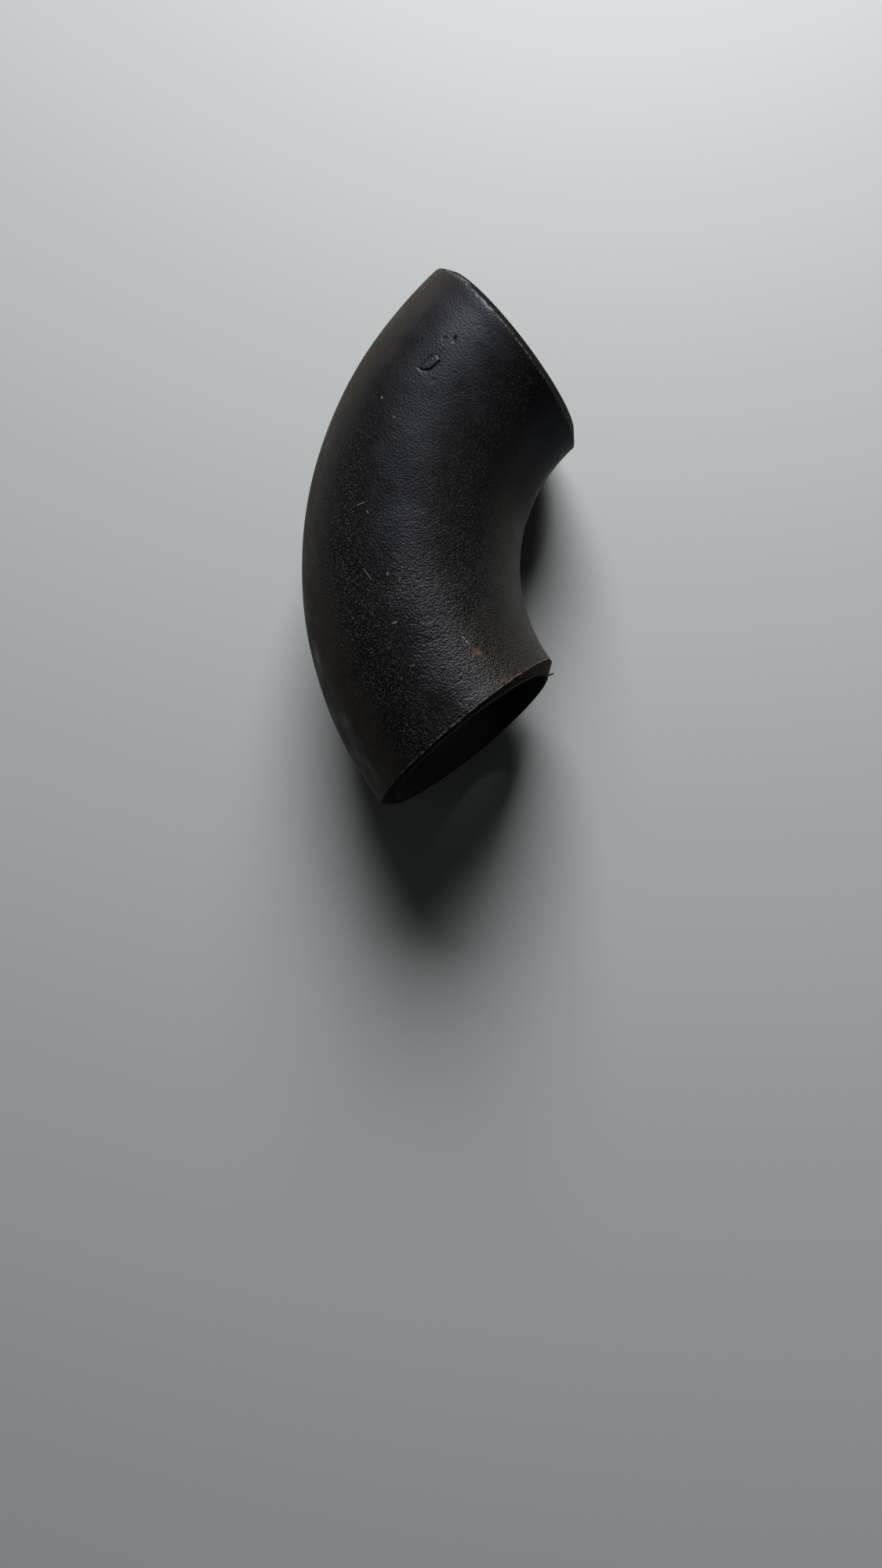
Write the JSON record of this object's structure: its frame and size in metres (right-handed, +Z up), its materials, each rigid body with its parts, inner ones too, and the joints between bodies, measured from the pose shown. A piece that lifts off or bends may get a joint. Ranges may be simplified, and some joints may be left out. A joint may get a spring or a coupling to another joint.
{
  "type": "butt-weld pipe elbow",
  "caption": "Long-radius 90 degree butt-weld pipe elbow in black coated steel with bevelled weld ends, for boiler, heating and flue pipework.",
  "frame": {"origin": "on the surface the elbow lies on, under the middle of its box", "axes": "+Z up, parallel to the bend axis; one end opens towards -Y and the other towards -X"},
  "size_m": [0.133, 0.133, 0.0761],
  "materials": {
    "black_steel": "thin black varnish over hot-formed steel, semi-gloss, finely wrinkled, with dust and a little rust"
  },
  "bodies": {
    "root": {"elbow": "black_steel"}
  },
  "joints": []
}
